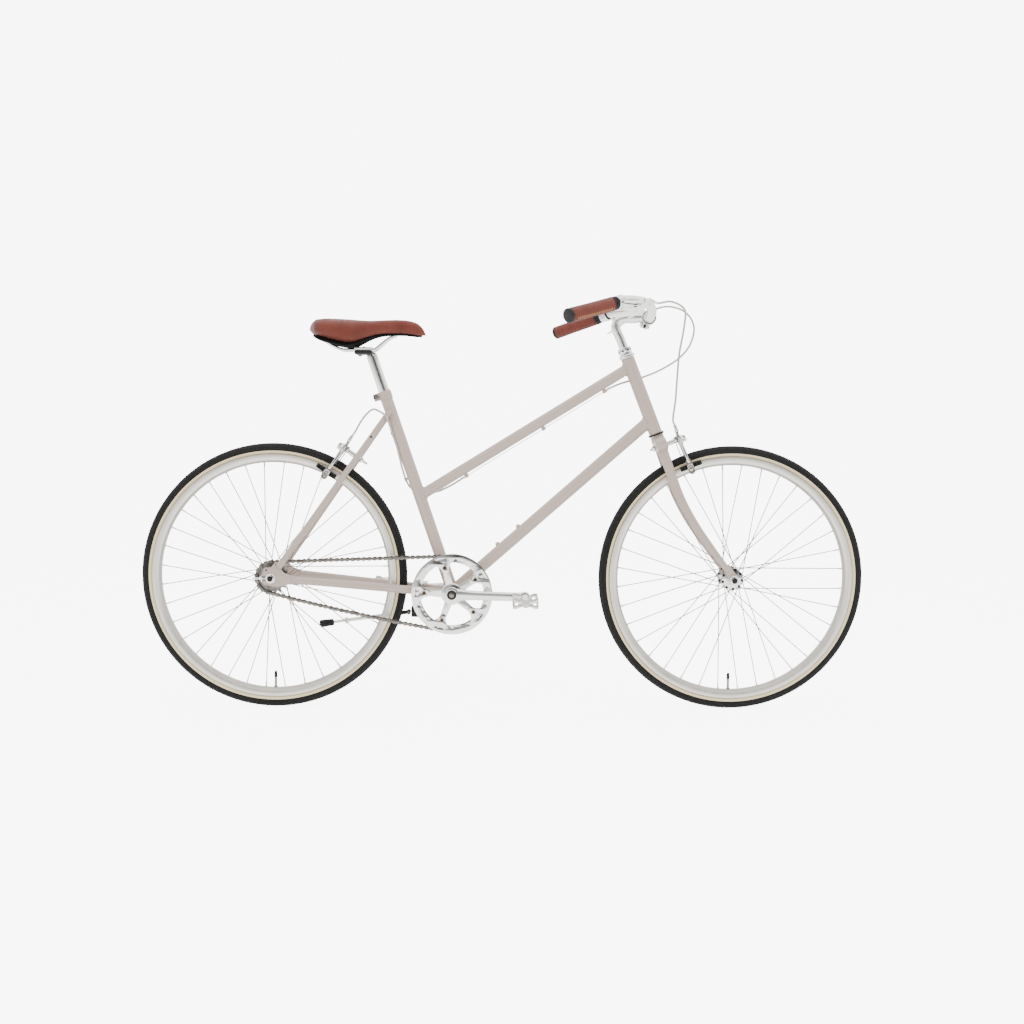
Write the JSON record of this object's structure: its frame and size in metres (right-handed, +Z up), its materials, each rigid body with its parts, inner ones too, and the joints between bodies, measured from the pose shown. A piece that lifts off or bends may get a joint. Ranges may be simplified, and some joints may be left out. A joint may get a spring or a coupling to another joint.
{
  "type": "step-through bicycle",
  "caption": "Step-through city bike with raised diagonal top tube, swept-back bars, side-pull brakes, chain drive with guard ring and folding kickstand.",
  "frame": {"origin": "on the ground, midway between the two wheel axles", "axes": "+X forward, +Y to the rider's left, +Z up"},
  "size_m": [1.707, 0.59, 0.9626],
  "materials": {
    "frame_paint": "satin warm grey-beige paint",
    "tyre_rubber": "black tread with cream side walls",
    "rim_silver": "satin silver",
    "spoke_steel": "bright zinc and polished hub",
    "polished_silver": "polished silver",
    "bright_chrome": "mirror chrome",
    "dark_steel": "oiled steel",
    "black_rubber": "matt black",
    "black_plastic": "matt black",
    "brown_leather": "brown-red, light grain",
    "housing_grey": "pale grey sleeve"
  },
  "bodies": {
    "frame": {"frame": "frame_paint", "headset_upper_cup": "bright_chrome", "headset_lower_cup": "bright_chrome", "bottom_bracket": "dark_steel", "kickstand_bracket": "black_plastic", "rear_axle": "bright_chrome", "chain_tensioner_right": "polished_silver", "chain_tensioner_left": "polished_silver", "chain": "dark_steel", "rear_housing_front": "housing_grey", "rear_brake_cable": "housing_grey", "rear_brake_bolt": "polished_silver"},
    "steering": {"fork": "frame_paint", "headset_locknut": "bright_chrome", "stem": "polished_silver", "handlebar": "polished_silver", "grip_right": "brown_leather", "grip_left": "brown_leather", "grip_cap_right": "black_plastic", "grip_cap_left": "black_plastic", "lever_perch_right": "polished_silver", "lever_perch_left": "polished_silver", "front_axle": "bright_chrome", "front_brake_cable": "housing_grey", "front_brake_bolt": "polished_silver"},
    "lever_right": {"brake_lever_right": "polished_silver"},
    "lever_left": {"brake_lever_left": "polished_silver"},
    "front_wheel": {"front_tyre": "tyre_rubber", "front_rim": "rim_silver", "front_hub_and_spokes": "spoke_steel", "front_valve": "dark_steel"},
    "rear_wheel": {"rear_tyre": "tyre_rubber", "rear_rim": "rim_silver", "rear_hub_and_spokes": "spoke_steel", "rear_valve": "dark_steel"},
    "sprocket": {"rear_sprocket": "dark_steel"},
    "crank": {"spindle": "dark_steel", "crank_right": "polished_silver", "crank_left": "polished_silver", "chainring": "polished_silver", "chain_guard": "polished_silver", "pedal_axle_right": "dark_steel", "pedal_axle_left": "dark_steel"},
    "pedal_right": {"pedal_right": "polished_silver"},
    "pedal_left": {"pedal_left": "polished_silver"},
    "front_arm_outer": {"front_brake_arm_outer": "polished_silver", "front_brake_pad_outer": "black_rubber"},
    "front_arm_inner": {"front_brake_arm_inner": "polished_silver", "front_brake_pad_inner": "black_rubber"},
    "rear_arm_outer": {"rear_brake_arm_outer": "polished_silver", "rear_brake_pad_outer": "black_rubber"},
    "rear_arm_inner": {"rear_brake_arm_inner": "polished_silver", "rear_brake_pad_inner": "black_rubber"},
    "kickstand": {"kickstand_leg": "polished_silver", "kickstand_foot": "black_rubber"},
    "seat": {"seat_post": "polished_silver", "saddle_clamp": "polished_silver", "saddle_rails": "bright_chrome", "saddle_base": "black_plastic", "saddle_cover": "brown_leather"}
  },
  "joints": [
    {"name": "steering_turn", "type": "hinge", "parent": "frame", "child": "steering", "pos_m": [0.32314, 0, 0.74397], "axis": [-0.3665, 0, 0.9304], "range_deg": [-75, 75], "deforming": ["rear_housing_front"]},
    {"name": "front_wheel_spin", "type": "hinge", "parent": "steering", "child": "front_wheel", "pos_m": [0.54, 0, 0.3135], "axis": [0, 1, 0], "continuous": true},
    {"name": "rear_wheel_spin", "type": "hinge", "parent": "frame", "child": "rear_wheel", "pos_m": [-0.54, 0, 0.3135], "axis": [0, 1, 0], "continuous": true},
    {"name": "crank_spin", "type": "hinge", "parent": "frame", "child": "crank", "pos_m": [-0.11948, 0, 0.277], "axis": [0, 1, 0], "continuous": true, "deforming": ["chain"]},
    {"name": "sprocket_spin", "type": "hinge", "parent": "frame", "child": "sprocket", "pos_m": [-0.54, 0, 0.3135], "axis": [0, 1, 0], "continuous": true},
    {"name": "pedal_right_spin", "type": "hinge", "parent": "crank", "child": "pedal_right", "pos_m": [0.05049, -0.13, 0.27403], "axis": [0, 1, 0], "continuous": true},
    {"name": "pedal_left_spin", "type": "hinge", "parent": "crank", "child": "pedal_left", "pos_m": [-0.28946, 0.13, 0.27997], "axis": [0, 1, 0], "continuous": true},
    {"name": "lever_right_pull", "type": "hinge", "parent": "steering", "child": "lever_right", "pos_m": [0.30758, -0.17393, 0.94565], "axis": [-0.0695, 0.4312, -0.8996], "range_deg": [0, 20], "stiffness_Nm_per_rad": 1.5},
    {"name": "lever_left_pull", "type": "hinge", "parent": "steering", "child": "lever_left", "pos_m": [0.30758, 0.17393, 0.94565], "axis": [0.0695, 0.4312, 0.8996], "range_deg": [0, 20], "stiffness_Nm_per_rad": 1.5},
    {"name": "front_arm_outer_close", "type": "hinge", "parent": "steering", "child": "front_arm_outer", "pos_m": [0.37005, 0, 0.62488], "axis": [0.9304, 0, 0.3665], "range_deg": [-1.9, 0]},
    {"name": "front_arm_inner_close", "type": "hinge", "parent": "steering", "child": "front_arm_inner", "pos_m": [0.37005, 0, 0.62488], "axis": [0.9304, 0, 0.3665], "range_deg": [0, 1.9]},
    {"name": "rear_arm_outer_close", "type": "hinge", "parent": "frame", "child": "rear_arm_outer", "pos_m": [-0.344, 0, 0.59376], "axis": [-0.8195, 0, 0.5731], "range_deg": [0, 1.9]},
    {"name": "rear_arm_inner_close", "type": "hinge", "parent": "frame", "child": "rear_arm_inner", "pos_m": [-0.344, 0, 0.59376], "axis": [-0.8195, 0, 0.5731], "range_deg": [-1.9, 0]},
    {"name": "kickstand_fold", "type": "hinge", "parent": "frame", "child": "kickstand", "pos_m": [-0.2262, 0.038, 0.222], "axis": [-0.0642, -0.9351, -0.3485], "range_deg": [0, 76.1]},
    {"name": "seat_slide", "type": "slide", "parent": "frame", "child": "seat", "axis": [-0.3256, 0, 0.9455], "range_m": [-0.06, 0.04]}
  ],
  "couplings": [
    {"joint": "sprocket_spin", "follows": "crank_spin", "ratio": 2.4444},
    {"joint": "front_arm_outer_close", "follows": "lever_right_pull", "ratio": -0.095},
    {"joint": "front_arm_inner_close", "follows": "lever_right_pull", "ratio": 0.095},
    {"joint": "rear_arm_outer_close", "follows": "lever_left_pull", "ratio": 0.095},
    {"joint": "rear_arm_inner_close", "follows": "lever_left_pull", "ratio": -0.095}
  ]
}
